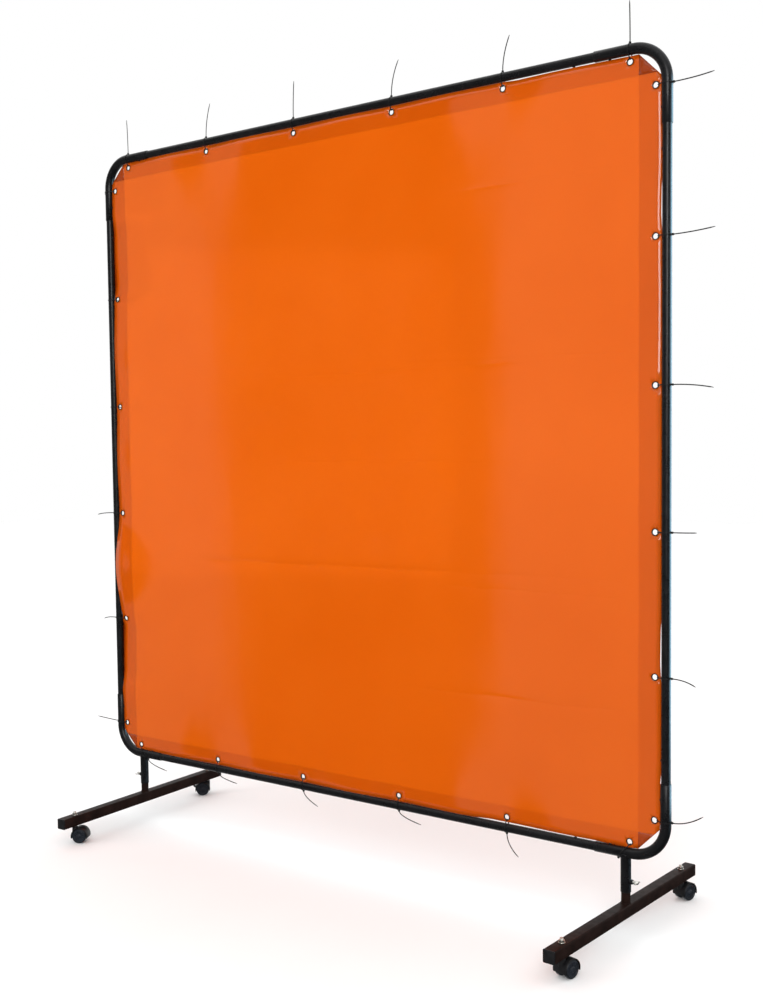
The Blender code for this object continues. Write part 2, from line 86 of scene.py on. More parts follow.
# Frame tubes
BEND_RADIUS = 0.082
TUBE_WALL = 0.0013
SOCKET_RADIUS_STEP = 0.0002
CLAMP_NUT_HEIGHT = 0.006
SCREW_ON_ELBOW = 0.140
SCREW_ON_RAIL = 0.232

# Cable ties
TIE_WIDTH, TIE_THICKNESS = 0.0026, 0.0011
TIE_CLEARANCE = 0.0004
TIE_NOSE, TIE_NOSE_RADIUS = 0.0205, 0.0014
TIE_HEAD = (0.0050, 0.0048, 0.0040)
TIE_SKEW = 0.0287

# Casters
WHEEL_INNER, WHEEL_OUTER = 0.0062, 0.0188
CASTER_TRAIL = 0.016
HOOD_RADIUS, HOOD_CLEARANCE, HOOD_HALF_WIDTH = 0.0245, 0.0225, 0.0195
WEB_BOTTOM, WEB_HALF_WIDTH = 0.004, 0.0055
BRAKE_SLOT = 0.0024
PEDAL_TILT = 12
RIBS = 12

# Feet
TOUCH_GAP = 0.0003
CAP_THICKNESS = 0.0030
CAP_REACH = 0.0085


def box_middle(node):
    low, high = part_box(node)
    return (Vector(low) + Vector(high)) / 2


def box_size(node):
    low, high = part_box(node)
    return Vector(high) - Vector(low)


def joint_named(name):
    return next(j for j in frame["joints"] if j["name"] == name)


HALF = box_middle("right_upright").x
TOP_Z = box_middle("top_rail").z
BOTTOM_Z = box_middle("bottom_rail").z
MID_Z = (TOP_Z + BOTTOM_Z) / 2
RAIL_RADIUS = box_size("right_upright").x / 2
ELBOW_RADIUS = box_size("top_right_elbow").y / 2
ELBOW_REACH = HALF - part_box("top_right_elbow")[0][0]
CURTAIN_HALF = box_size("curtain").x / 2
SOCKET_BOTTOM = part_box("bottom_right_elbow")[0][2]
POST_X = joint_named("right_foot_turn")["pos_m"][0]
CLAMP_Z = joint_named("right_wing_bolt_turn")["pos_m"][2]
BAR_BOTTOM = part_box("right_foot_bar")[0][2]
BAR_SIDE = box_size("right_front_cap").z
BAR_TOP = BAR_BOTTOM + BAR_SIDE
WHEEL_RADIUS = box_size("right_front_wheel_a").z / 2
SIDES = ("top", "bottom", "right", "left")


# ---- materials


def set_inputs(node, values):
    for key, value in values.items():
        node.inputs[key].default_value = value
    return node


def add_node(tree, kind, values=None):
    """A new shader node, with values for some of its inputs."""
    return set_inputs(tree.nodes.new(kind), values or {})


def shader_of(made):
    return made.node_tree.nodes["Principled BSDF"]


def new_material(name, color, roughness, metallic=0.0):
    made = bpy.data.materials.new(name)
    made.use_nodes = True
    made.diffuse_color = (*color, 1.0)
    values = {"Base Color": (*color, 1.0), "Roughness": roughness, "Metallic": metallic}
    set_inputs(shader_of(made), values)
    return made


def noise_node(made, scale, detail=3.0, stretch=(1, 1, 1)):
    """Noise in the object's own space, so that it stays on the piece."""
    tree = made.node_tree
    place = add_node(tree, "ShaderNodeTexCoord")
    mapping = add_node(tree, "ShaderNodeMapping", {"Scale": stretch})
    pattern = add_node(tree, "ShaderNodeTexNoise", {"Scale": scale, "Detail": detail, "Roughness": 0.55})
    tree.links.new(place.outputs["Object"], mapping.inputs["Vector"])
    tree.links.new(mapping.outputs["Vector"], pattern.inputs["Vector"])
    return pattern


def vary_color(made, pattern, low, high, start=0.35, end=0.65):
    tree = made.node_tree
    ramp = add_node(tree, "ShaderNodeValToRGB")
    for point, position, color in zip(ramp.color_ramp.elements, (start, end), (low, high)):
        point.position = position
        point.color = (*color, 1)
    tree.links.new(pattern.outputs["Fac"], ramp.inputs["Fac"])
    tree.links.new(ramp.outputs["Color"], shader_of(made).inputs["Base Color"])


def vary_roughness(made, pattern, low, high):
    tree = made.node_tree
    values = {"From Min": 0.3, "From Max": 0.7, "To Min": low, "To Max": high}
    spread = add_node(tree, "ShaderNodeMapRange", values)
    tree.links.new(pattern.outputs["Fac"], spread.inputs["Value"])
    tree.links.new(spread.outputs["Result"], shader_of(made).inputs["Roughness"])


def add_bump(made, pattern, strength, distance, before=None):
    tree = made.node_tree
    bump = add_node(tree, "ShaderNodeBump", {"Strength": strength, "Distance": distance})
    tree.links.new(pattern.outputs["Fac"], bump.inputs["Height"])
    if before:
        tree.links.new(before.outputs["Normal"], bump.inputs["Normal"])
    tree.links.new(bump.outputs["Normal"], shader_of(made).inputs["Normal"])
    return bump


def powder_coat(name, low, high, roughness, gloss):
    """Satin powder coat: slight orange peel, uneven gloss, and faint lighter patches."""
    made = new_material(name, high, roughness)
    set_inputs(shader_of(made), {"Specular IOR Level": gloss})
    vary_color(made, noise_node(made, 26, 5), low, high)
    vary_roughness(made, noise_node(made, 60, 4), roughness - 0.07, roughness + 0.08)
    add_bump(made, noise_node(made, 900, 2), 0.25, 0.0002)
    return made


def zinc_plate():
    made = new_material("zinc_plate", (0.62, 0.61, 0.58), 0.28, 1.0)
    vary_color(made, noise_node(made, 300, 4), (0.45, 0.43, 0.38), (0.74, 0.73, 0.70))
    vary_roughness(made, noise_node(made, 500, 4), 0.2, 0.38)
    add_bump(made, noise_node(made, 2400, 2), 0.2, 0.0001)
    return made


def eyelet_metal():
    """Blackened brass: dark, with a warm worn tint."""
    made = new_material("eyelet_metal", (0.03, 0.025, 0.02), 0.34, 1.0)
    vary_color(made, noise_node(made, 420, 4), (0.02, 0.018, 0.016), (0.06, 0.05, 0.04))
    vary_roughness(made, noise_node(made, 700, 3), 0.26, 0.45)
    add_bump(made, noise_node(made, 1800, 2), 0.15, 0.0001)
    return made


def moulded_plastic(name, low, high, roughness):
    made = new_material(name, high, roughness)
    vary_color(made, noise_node(made, 90, 4), low, high)
    set_inputs(shader_of(made), {"Specular IOR Level": 0.25})
    vary_roughness(made, noise_node(made, 160, 3), roughness - 0.06, roughness + 0.08)
    add_bump(made, noise_node(made, 1500, 3), 0.3, 0.00015)
    return made


def orange_pvc(name, clear, low, high):
    """Glossy translucent sheet, with slow waves in its surface from the calender and from its packing."""
    made = new_material(name, high, 0.03)
    set_inputs(shader_of(made), {"Transmission Weight": clear, "IOR": 1.45})
    vary_color(made, noise_node(made, 2.2, 3), low, high, 0.3, 0.7)
    vary_roughness(made, noise_node(made, 14, 4), 0.02, 0.045)
    waves = add_bump(made, noise_node(made, 5.0, 2, (1.0, 1.0, 0.45)), 0.12, 0.004)
    add_bump(made, noise_node(made, 60, 3), 0.02, 0.0006, before=waves)
    return made


def pale_floor():
    made = new_material("pale_floor", (0.86, 0.86, 0.86), 0.8)
    vary_color(made, noise_node(made, 1.3, 3), (0.85, 0.85, 0.85), (0.87, 0.87, 0.87))
    return made


FRAME_COAT = powder_coat("frame_powder_coat", (0.0022, 0.0022, 0.0026), (0.0042, 0.0042, 0.0048), 0.30, 0.2)
BASE_COAT = powder_coat("base_powder_coat", (0.009, 0.0044, 0.0034), (0.017, 0.0082, 0.0064), 0.42, 0.06)
ZINC = zinc_plate()
EYELET_METAL = eyelet_metal()
BLACK_PLASTIC = moulded_plastic("black_plastic", (0.004, 0.004, 0.0045), (0.008, 0.008, 0.009), 0.40)
WHEEL_PLASTIC = moulded_plastic("wheel_plastic", (0.008, 0.010, 0.014), (0.016, 0.020, 0.027), 0.36)
NYLON = moulded_plastic("black_nylon", (0.004, 0.004, 0.004), (0.009, 0.009, 0.009), 0.38)
PVC = orange_pvc("orange_pvc", 0.5, (0.78, 0.128, 0.002), (0.82, 0.143, 0.004))
PVC_DOUBLE = orange_pvc("orange_pvc_double", 0.5, (0.74, 0.118, 0.002), (0.78, 0.130, 0.003))
PVC_TRIPLE = orange_pvc("orange_pvc_triple", 0.3, (0.30, 0.040, 0.003), (0.40, 0.054, 0.004))


# ---- mesh helpers


def mesh_object(name, points, faces, look, edge_angle=40):
    mesh = bpy.data.meshes.new(name)
    mesh.from_pydata([tuple(p) for p in points], [], faces)
    mesh.update()
    mesh.materials.append(look)
    mesh.shade_smooth()
    mesh.set_sharp_from_angle(angle=math.radians(edge_angle))
    made = bpy.data.objects.new(name, mesh)
    bpy.context.scene.collection.objects.link(made)
    return made


def settle(piece, body, replaced=None):
    """Hands a finished piece to the frame: the body it rides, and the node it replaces."""
    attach(piece, body)
    if replaced:
        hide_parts(replaced)


def merged(*parts):
    """Points and faces of several (points, faces) shapes as one."""
    points, faces = [], []
    for more_points, more_faces in parts:
        start = len(points)
        points += [Vector(p) for p in more_points]
        faces += [tuple(start + i for i in face) for face in more_faces]
    return points, faces


def moved(shape, matrix):
    points, faces = shape
    return [matrix @ Vector(p) for p in points], faces


def loft(rings, closed=False):
    """Faces between rings of points, which turn counter-clockwise seen from the last ring."""
    count = len(rings[0])
    faces = []
    for i in range(len(rings) if closed else len(rings) - 1):
        low, high = i * count, ((i + 1) % len(rings)) * count
        for k in range(count):
            after = (k + 1) % count
            faces.append((low + k, low + after, high + after, high + k))
    if not closed:
        faces.append(tuple(reversed(range(count))))
        faces.append(tuple(range((len(rings) - 1) * count, len(rings) * count)))
    return [p for ring in rings for p in ring], faces


def circle(radius, sides=48):
    steps = [2 * math.pi * k / sides for k in range(sides)]
    return [(radius * math.cos(a), radius * math.sin(a)) for a in steps]


def turned(profile, sides=48):
    """A solid turned about Z from (radius, z) points that run up its outer side."""
    rings = [[(x, y, z) for x, y in circle(max(r, 1e-5), sides)] for r, z in profile]
    return loft(rings)


def turned_ring(profile, sides=48):
    """A ring turned about Z from a closed loop of (radius, z) points."""
    rings = [[(x, y, z) for x, y in circle(r, sides)] for r, z in profile]
    return loft(rings, closed=True)


def rounded_square(half, corner, steps=6):
    outline = []
    for quarter, (sx, sy) in enumerate([(1, 1), (-1, 1), (-1, -1), (1, -1)]):
        for k in range(steps + 1):
            angle = math.pi / 2 * (quarter + k / steps)
            x = sx * (half - corner) + corner * math.cos(angle)
            y = sy * (half - corner) + corner * math.sin(angle)
            outline.append((x, y))
    return outline


def rounded_outline(corners, radius, steps=4):
    """A polygon's outline with round corners."""
    outline = []
    for i, corner in enumerate(corners):
        here = Vector(corner)
        before, after = Vector(corners[i - 1]), Vector(corners[(i + 1) % len(corners)])
        cut = min(radius, (before - here).length * 0.45, (after - here).length * 0.45)
        start = here + (before - here).normalized() * cut
        end = here + (after - here).normalized() * cut
        for k in range(steps + 1):
            t = k / steps
            outline.append(start * (1 - t) ** 2 + here * 2 * t * (1 - t) + end * t**2)
    return outline


def softened_prism(outline, low, high, soften):
    """An outline in XY extruded along Z, with its edges eased by that much."""
    middle = sum((Vector(p) for p in outline), Vector((0, 0))) / len(outline)
    reach = max((Vector(p) - middle).length for p in outline)
    rings = []
    for inset, z in ((soften, low), (0, low + soften), (0, high - soften), (soften, high)):
        share = 1 - inset / reach
        rings.append([(*(middle + (Vector(p) - middle) * share), z) for p in outline])
    return loft(rings)


def along(axis, place=(0, 0, 0)):
    return Matrix.Translation(place) @ Vector(axis).to_track_quat("Z", "Y").to_matrix().to_4x4()


def frame_sweep(path, profile):
    """Sweeps a round tube along a path of (x, z) points. The profile gives (path index, radius) rings."""
    rings = []
    for i, radius in profile:
        before, after = path[max(i - 1, 0)], path[min(i + 1, len(path) - 1)]
        heading = math.atan2(after[1] - before[1], after[0] - before[0])
        x, z = path[i]
        rings.append(
            [(x - math.sin(heading) * u, v, z + math.cos(heading) * u) for v, u in circle(radius)]
        )
    return rings


def hex_nut(across, height, bore, chamfer=0.0006, sides=72):
    """A hexagonal nut with its corners turned off at both ends."""
    flat = across / 2
    corner = flat / math.cos(math.pi / 6)
    ease = chamfer * 0.6
    sections = [(0, corner - chamfer), (ease, corner), (height - ease, corner), (height, corner - chamfer)]
    rings = []
    for z, limit in sections:
        ring = []
        for k in range(sides):
            a = 2 * math.pi * k / sides
            r = min(flat / math.cos((a % (math.pi / 3)) - math.pi / 6), limit)
            ring.append((r * math.cos(a), r * math.sin(a), z))
        rings.append(ring)
    inner = [[(x, y, z) for x, y in circle(bore, sides)] for z in (height, 0)]
    return loft([*rings, *inner], closed=True)


def thread_profile(radius, low, high, pitch=0.00125):
    """The outer side of a threaded rod, as grooves."""
    profile = [(radius * 0.8, low), (radius, low + 0.0004)]
    z = low + 0.0006
    while z < high - pitch:
        profile += [(radius, z), (radius * 0.87, z + pitch * 0.5)]
        z += pitch
    return [*profile, (radius, z), (radius * 0.8, high)]


def weld_bead(centres, radius, outward, seed):
    """A closed rippled bead along a loop of points."""
    rings = []
    count = len(centres)
    around = circle(1.0, 10)
    for i, centre in enumerate(centres):
        ahead = (Vector(centres[(i + 1) % count]) - Vector(centres[i - 1])).normalized()
        out = Vector(outward(centre)).normalized()
        up = ahead.cross(out).normalized()
        ripple = 1 + 0.18 * math.sin(i * 2 * math.pi / 5) + 0.12 * noise.noise((i * 0.6, seed, 0))
        rings.append([Vector(centre) + (out * c - up * s) * radius * ripple for c, s in around])
    return loft(rings, closed=True)


# ---- frame tubes


def elbow_path(steps=24):
    """The middle line of an elbow at the upper right, as (x, z) from the frame's corner."""
    bend = []
    for k in range(steps + 1):
        angle = math.pi / 2 * (1 - k / steps)
        bend.append((BEND_RADIUS * (math.cos(angle) - 1), BEND_RADIUS * (math.sin(angle) - 1)))
    lip = 0.0008
    return [(-ELBOW_REACH, 0), (-ELBOW_REACH + lip, 0), *bend, (0, -ELBOW_REACH + lip), (0, -ELBOW_REACH)]


def elbow_shape(sx, sz):
    """A bent sleeve whose rolled ends show its wall."""
    path = elbow_path()
    last = len(path) - 1
    rolled = ELBOW_RADIUS - 0.0006
    outer = [(0, rolled), *((i, ELBOW_RADIUS) for i in range(1, last)), (last, rolled)]
    inner = [(i, ELBOW_RADIUS - TUBE_WALL) for i in range(last, -1, -1)]
    rings = frame_sweep(path, outer) + frame_sweep(path, inner)
    corner = Matrix.Translation((sx * HALF, 0, TOP_Z if sz > 0 else BOTTOM_Z))
    return moved(loft(rings, closed=True), corner @ Matrix.Diagonal((sx, sx * sz, sz, 1)))


def screw_shape(place, axis):
    """A small domed button screw with a hexagonal recess."""
    head = [(0.0036, 0.0), (0.0038, 0.0006), (0.0034, 0.0015), (0.0024, 0.0022), (0.0013, 0.0024)]
    recess = [(0.0012, 0.0024), (0.0012, 0.0012), (0.0001, 0.0011)]
    return moved(turned([(0.0001, 0.0), *head, *recess], 24), along(axis, place))


def socket_shape(sx):
    """The leg socket under a lower elbow, with its welded clamp nut and both weld beads."""
    radius = ELBOW_RADIUS - SOCKET_RADIUS_STEP
    bore = radius - TUBE_WALL
    top = BOTTOM_Z - ELBOW_RADIUS * 0.3
    lip = 0.0006
    wall = [
        (bore, SOCKET_BOTTOM), (radius - lip, SOCKET_BOTTOM), (radius, SOCKET_BOTTOM + lip),
        (radius, top), (bore, top),
    ]
    tube = moved(turned_ring(wall), Matrix.Translation((sx * POST_X, 0, 0)))
    joint = []
    for x, y in circle(radius, 80):
        joint.append((sx * POST_X + x, y, BOTTOM_Z - math.sqrt(max(ELBOW_RADIUS**2 - y**2, 0)) * 0.98))
    upper_bead = weld_bead(joint, 0.0016, lambda p: (p[0] - sx * POST_X, p[1], 0), 1 + sx)
    nut_start = (sx * (POST_X + radius - 0.0005), 0, CLAMP_Z)
    nut = moved(hex_nut(across=0.0102, height=CLAMP_NUT_HEIGHT, bore=0.0032), along((sx, 0, 0), nut_start))
    rim = []
    for y, z in circle(0.0062, 40):
        rim.append((sx * (POST_X + math.sqrt(radius**2 - y**2)), y, CLAMP_Z + z))
    nut_bead = weld_bead(rim, 0.0010, lambda p: (0, p[1], p[2] - CLAMP_Z), 4 + sx)
    return merged(tube, upper_bead, nut, nut_bead)


def make_elbows():
    for end, sz in (("bottom", -1), ("top", 1)):
        for side, sx in (("left", -1), ("right", 1)):
            shapes = [elbow_shape(sx, sz)]
            if sz < 0:
                shapes.append(socket_shape(sx))
            name = f"{end}_{side}_corner"
            piece = mesh_object(name, *merged(*shapes), FRAME_COAT)
            settle(piece, "frame", f"{end}_{side}_elbow")


def make_rails():
    half = box_size("right_upright").z / 2
    bore = RAIL_RADIUS - TUBE_WALL
    wall = [(bore, -half), (RAIL_RADIUS, -half), (RAIL_RADIUS, half), (bore, half)]
    for name, place, axis in (
        ("top_rail", (0, 0, TOP_Z), (1, 0, 0)),
        ("bottom_rail", (0, 0, BOTTOM_Z), (1, 0, 0)),
        ("left_upright", (-HALF, 0, MID_Z), (0, 0, 1)),
        ("right_upright", (HALF, 0, MID_Z), (0, 0, 1)),
    ):
        piece = mesh_object(f"{name}_tube", *moved(turned_ring(wall), along(axis, place)), FRAME_COAT)
        settle(piece, "frame", name)


def make_screws():
    """Two screws lock each end of every elbow: one through the sleeve, and one in the rail beside it."""
    shapes = []
    for sx in (-1, 1):
        for sz, z in ((-1, BOTTOM_Z), (1, TOP_Z)):
            for reach, radius in ((SCREW_ON_ELBOW, ELBOW_RADIUS), (SCREW_ON_RAIL, RAIL_RADIUS)):
                inner = radius - 0.0002
                shapes.append(screw_shape((sx * (HALF - reach), 0, z - sz * inner), (0, 0, -sz)))
                shapes.append(screw_shape((sx * (HALF - inner), 0, z - sz * reach), (-sx, 0, 0)))
    piece = mesh_object("elbow_screws", *merged(*shapes), BLACK_PLASTIC)
    settle(piece, "frame")


# ---- curtain


def eyelet_places():
    return [(k - (EYELET_COUNT - 1) / 2) * EYELET_PITCH for k in range(EYELET_COUNT)]


def side_matrix(side):
    """Maps a side's own frame (along the tube, across the sheet, outward) to the world."""
    columns = {
        "top": ((1, 0, 0), (0, 1, 0), (0, 0, 1), (0, 0, TOP_Z)),
        "bottom": ((1, 0, 0), (0, -1, 0), (0, 0, -1), (0, 0, BOTTOM_Z)),
        "right": ((0, 0, -1), (0, 1, 0), (1, 0, 0), (HALF, 0, MID_Z)),
        "left": ((0, 0, -1), (0, -1, 0), (-1, 0, 0), (-HALF, 0, MID_Z)),
    }[side]
    made = Matrix.Identity(4)
    for k, column in enumerate(columns):
        made.col[k] = (*column, 1.0 if k == 3 else 0.0)
    return made


def eyelet_centres():
    """Every eyelet's (x, z) from the sheet's middle."""
    centres = []
    for side in SIDES:
        for place in eyelet_places():
            spot = side_matrix(side) @ Vector((place, 0, -EYELET_INSET))
            centres.append((spot.x, spot.z - MID_Z))
    return centres


# Slow waves of the whole sheet: height, scale along X, scale along Z, and seed
BILLOWS = ((0.0020, 1.3, 0.9, 3.1), (0.0010, 3.4, 1.2, 7.7))
EDGE_BULGE, EDGE_FADE = 0.0018, 0.08
RIPPLE, RIPPLE_RATE = 0.0003, 330

# Where each edge hangs clear of its tube, as (start, end) along the edge. It nearly touches elsewhere.
OPEN_EDGES = {
    "top": ((0.50, 0.88),),
    "bottom": ((0.40, 0.80),),
    "right": ((0.50, 0.66), (-0.52, -0.34), (-0.80, -0.70)),
    "left": ((0.50, 0.76), (-0.72, -0.48)),
}
# How far out an edge lies where it is open and where it isn't, and how deep into the sheet that reaches
OPEN_SPREAD = {"top": -0.0005, "bottom": 0.0, "right": 0.0, "left": -0.015}
EDGE_SPREAD = 0.0031
SPREAD_DEPTH = 0.018
OPEN_SINK = 0.010
EDGE_STEP = 0.010

# The stretch of the left edge that bulges over its tube, and how far forward and outward
LIFTED = (-0.501, -0.167)
LIFT_FORWARD, LIFT_OUT, LIFT_FADE = 0.012, 0.006, 0.045

# Packing creases: height from the middle of the sheet, slope, start and end along X, and depth
CREASE_WIDTH = 0.005
CREASES = (
    (0.232, 0.012, -0.30, 0.86, 0.0010),
    (0.262, -0.02, 0.10, 0.86, 0.0007),
    (-0.005, 0.006, -0.30, 0.86, 0.0009),
    (-0.292, 0.010, -0.60, 0.86, 0.0011),
    (-0.320, -0.008, 0.25, 0.88, 0.0007),
    (-0.604, 0.015, 0.05, 0.88, 0.0011),
    (0.66, 0.02, 0.30, 0.84, 0.0006),
)


def crease_depth(x, z):
    """How far the packing creases push the sheet out at a place."""
    total = 0.0
    for height, slope, start, end, depth in CREASES:
        fade = max(0.0, min(1.0, (x - start) / 0.15)) * max(0.0, min(1.0, (end - x) / 0.05))
        distance = z - height - slope * x - 0.004 * noise.noise((x * 6, height * 9, 0))
        total += depth * fade * math.exp(-abs(distance) / CREASE_WIDTH)
    return total


def lift_share(side, place):
    """From 0 to 1, how far an edge bulges over its tube at a place. Only the left edge does."""
    start, end = LIFTED
    if side != "left" or not start < place < end:
        return 0.0
    return math.sin(math.pi * (place - start) / (end - start)) ** 2


def sheet_relief(x, z):
    """The sheet's distance from its flat plane: slow billow, bulges between eyelets, and creases."""
    inner = CURTAIN_HALF - EYELET_INSET
    billow = sum(height * noise.noise((x * wide, z * tall, seed)) for height, wide, tall, seed in BILLOWS)
    edge_x = math.exp(min(0.0, abs(x) - inner) / EDGE_FADE)
    edge_z = math.exp(min(0.0, abs(z) - inner) / EDGE_FADE)
    phase = 2 * math.pi / EYELET_PITCH
    bulge = math.copysign(EDGE_BULGE, x) * edge_x * (1 + math.cos(phase * z))
    bulge -= EDGE_BULGE * edge_z * (1 + math.cos(phase * x))
    ripple = RIPPLE * edge_x * max(0.0, noise.noise((x * 9, z * 11, 4)))
    ripple *= math.sin(x * RIPPLE_RATE + 3 * noise.noise((x * 4, z * 5, 2)))
    lift = LIFT_FORWARD * lift_share("left" if x < 0 else "right", z) ** 0.7
    lift *= math.exp((abs(x) - CURTAIN_HALF) / LIFT_FADE)
    sink = OPEN_SINK * edge_x * (1 - pulled_share("left", z)) if x < 0 else 0.0
    return billow + bulge + ripple - lift + sink + crease_depth(x, z)


def pulled_share(side, place):
    """1 where an edge is drawn out to its tube, and 0 where it hangs clear of it."""
    pulled = 1.0
    for start, end in OPEN_EDGES[side]:
        inside = min(place - start, end - place) / 0.05
        pulled = min(pulled, 1 - max(0.0, min(1.0, inside)))
    return pulled


def edge_spread(side, place):
    """How much an edge is pulled outwards at a place along it."""
    pulled = pulled_share(side, place)
    corner = max(0.0, min(1.0, (CURTAIN_HALF - CHAMFER - abs(place)) / 0.04))
    level = OPEN_SPREAD[side] + (EDGE_SPREAD - OPEN_SPREAD[side]) * pulled
    return level * corner + LIFT_OUT * lift_share(side, place) ** 1.5


def spread_place(x, z):
    """A flat place moved outwards where it is near an edge."""
    start = CURTAIN_HALF - SPREAD_DEPTH
    share_x = max(0.0, (abs(x) - start) / SPREAD_DEPTH)
    share_z = max(0.0, (abs(z) - start) / SPREAD_DEPTH)
    x_out = share_x * edge_spread("right" if x > 0 else "left", z)
    z_out = share_z * edge_spread("top" if z > 0 else "bottom", x)
    return x + math.copysign(x_out, x), z + math.copysign(z_out, z)


def stepped(outline):
    """An outline with points along its straight runs."""
    points = []
    for i, corner in enumerate(outline):
        here, after = Vector(corner), Vector(outline[(i + 1) % len(outline)])
        steps = max(1, round((after - here).length / EDGE_STEP))
        points += [here.lerp(after, k / steps) for k in range(steps)]
    return points


def sheet_shape(outline, rows, columns, offset, ridge_at=None):
    """A sheet's middle surface: its outline in (x, z), grid lines to follow, and its layer's offset."""
    points = stepped(outline)
    edges = [(k, (k + 1) % len(points)) for k in range(len(points))]
    low = Vector((min(p.x for p in points), min(p.y for p in points)))
    high = Vector((max(p.x for p in points), max(p.y for p in points)))
    holes = [c for c in eyelet_centres() if low.x < c[0] < high.x and low.y < c[1] < high.y]
    for x, z in holes:
        start = len(points)
        points += [Vector((x + a, z + b)) for a, b in circle(EYELET_CUT, CUT_SIDES)]
        edges += [(start + k, start + (k + 1) % CUT_SIDES) for k in range(CUT_SIDES)]
    margin = 0.002
    for x in columns:
        for z in rows:
            inside = inside_chamfer(x, z, margin) and low.x + margin < x < high.x - margin
            inside = inside and low.y + margin < z < high.y - margin
            if inside and all(math.hypot(x - a, z - b) > EYELET_CUT + 0.0028 for a, b in holes):
                points.append(Vector((x, z)))
    flat, _, faces, *_ = delaunay_2d_cdt(points, edges, [], 1, 1e-6)
    keep = []
    for face in faces:
        cx = sum(flat[i].x for i in face) / len(face)
        cz = sum(flat[i].y for i in face) / len(face)
        if all(math.hypot(cx - a, cz - b) > EYELET_CUT - 0.0003 for a, b in holes):
            keep.append(tuple(face))
    placed = []
    for p in flat:
        ridge = ridge_at(p.x, p.y) if ridge_at else 0.0
        x, z = spread_place(p.x, p.y)
        placed.append((x, offset + ridge + sheet_relief(p.x, p.y), z + MID_Z))
    return placed, keep


def inside_chamfer(x, z, margin=0.0):
    return abs(x) + abs(z) < 2 * CURTAIN_HALF - CHAMFER - margin * 1.5


def even_lines(low, high, step):
    count = max(2, round((high - low) / step))
    return [low + (high - low) * k / count for k in range(count + 1)]


def crease_rows():
    """Extra grid rows near the creases."""
    return [c[0] + offset for c in CREASES for offset in (-0.018, -0.012, -0.006, 0.0, 0.006, 0.012, 0.018)]


def hem_outlines():
    """Each hem's outline and side. Side hems stop at the other two, and overlap patches fill the corners."""
    half, short = CURTAIN_HALF, CURTAIN_HALF - CHAMFER
    hems = {}
    for side, depth, sign in (("top", HEM_TOP, 1), ("bottom", HEM_BOTTOM, -1)):
        edge, inner = sign * half, sign * (half - depth)
        reach = short + depth
        hems[f"{side}_hem"] = [(-short, edge), (short, edge), (reach, inner), (-reach, inner)], side
        for end, turn in (("left", -1), ("right", 1)):
            corner = [(turn * short, edge), (turn * short, inner), (turn * reach, inner)]
            hems[f"{side}_{end}_overlap"] = corner, end
    for side, sign in (("left", -1), ("right", 1)):
        top, bottom = half - HEM_TOP, HEM_BOTTOM - half
        inner = sign * (half - HEM_SIDE)
        outline = [
            (inner, bottom), (sign * (short + HEM_BOTTOM), bottom), (sign * half, -short),
            (sign * half, short), (sign * (short + HEM_TOP), top), (inner, top),
        ]
        hems[f"{side}_hem"] = outline, side
    return hems


def weld_ridges(side, depth):
    """The pressed line of a hem's weld, beside its inner edge."""
    def ridge(x, z):
        distance = {"top": z, "bottom": -z, "right": x, "left": -x}[side] - (CURTAIN_HALF - depth)
        return 0.00035 * math.exp(-((distance - 0.006) / 0.0011) ** 2)
    return ridge


def make_curtain():
    half, short = CURTAIN_HALF, CURTAIN_HALF - CHAMFER
    outline = [
        (short, -half), (half, -short), (half, short), (short, half),
        (-short, half), (-half, short), (-half, -short), (-short, -half),
    ]
    lines = even_lines(-half, half, GRID_STEP)
    sheet = pvc_piece("curtain_sheet", sheet_shape(outline, sorted(lines + crease_rows()), lines, 0.0))
    for name, (corners, side) in hem_outlines().items():
        depth = {"top": HEM_TOP, "bottom": HEM_BOTTOM}.get(side, HEM_SIDE)
        inner = half - depth
        sign = 1 if side in ("top", "right") else -1
        across = [sign * (inner + d) for d in HEM_LINES if d < depth - 0.002]
        rows, columns = (across, lines) if side in ("top", "bottom") else (lines, across)
        corner = "overlap" in name
        look = PVC_TRIPLE if corner else PVC_DOUBLE
        offset = -LAYER_STEP if corner else LAYER_STEP
        shape = sheet_shape(corners, rows, columns, offset, weld_ridges(side, depth))
        pvc_piece(name, shape, look)
    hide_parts("curtain")
    make_eyelets()


def pvc_piece(name, shape, look=PVC):
    piece = mesh_object(name, *shape, look, edge_angle=60)
    thicken = piece.modifiers.new("thickness", "SOLIDIFY")
    thicken.thickness = PVC_THICKNESS
    thicken.offset = 0.0
    settle(piece, "frame")
    return piece


def make_eyelets():
    """Pressed eyelets: a rolled collar through the sheet, with a flange on each side."""
    hole, flange = EYELET_HOLE, EYELET_FLANGE
    reach = 0.0022
    lip = 0.0007
    back = [
        (EYELET_CUT, 0.0012), (flange - lip, reach - lip - 0.0006), (flange, reach - lip - 0.0003),
        (flange - lip, reach - 0.0004), (hole + 0.0015, reach + 0.0002), (hole + 0.0006, reach),
        (hole, reach * 0.7),
    ]
    loop = [(r, -z) for r, z in reversed(back)] + back
    shapes = []
    step = 0.01
    for x, z in eyelet_centres():
        slope_x = (sheet_relief(x + step, z) - sheet_relief(x - step, z)) / (2 * step)
        slope_z = (sheet_relief(x, z + step) - sheet_relief(x, z - step)) / (2 * step)
        normal = (-slope_x, 1, -slope_z)
        shapes.append(moved(turned_ring(loop, 40), along(normal, (x, sheet_relief(x, z), z + MID_Z))))
    piece = mesh_object("eyelets", *merged(*shapes), EYELET_METAL)
    settle(piece, "frame")
    return piece


# ---- cable ties


def strap_section(width, thickness):
    """A strap's rounded cross-section, counter-clockwise."""
    w, t = width / 2, thickness / 2
    ease = min(w, t) * 0.45
    return [
        (w - ease, -t), (w, -t + ease), (w, t - ease), (w - ease, t),
        (-w + ease, t), (-w, t - ease), (-w, -t + ease), (-w + ease, -t),
    ]


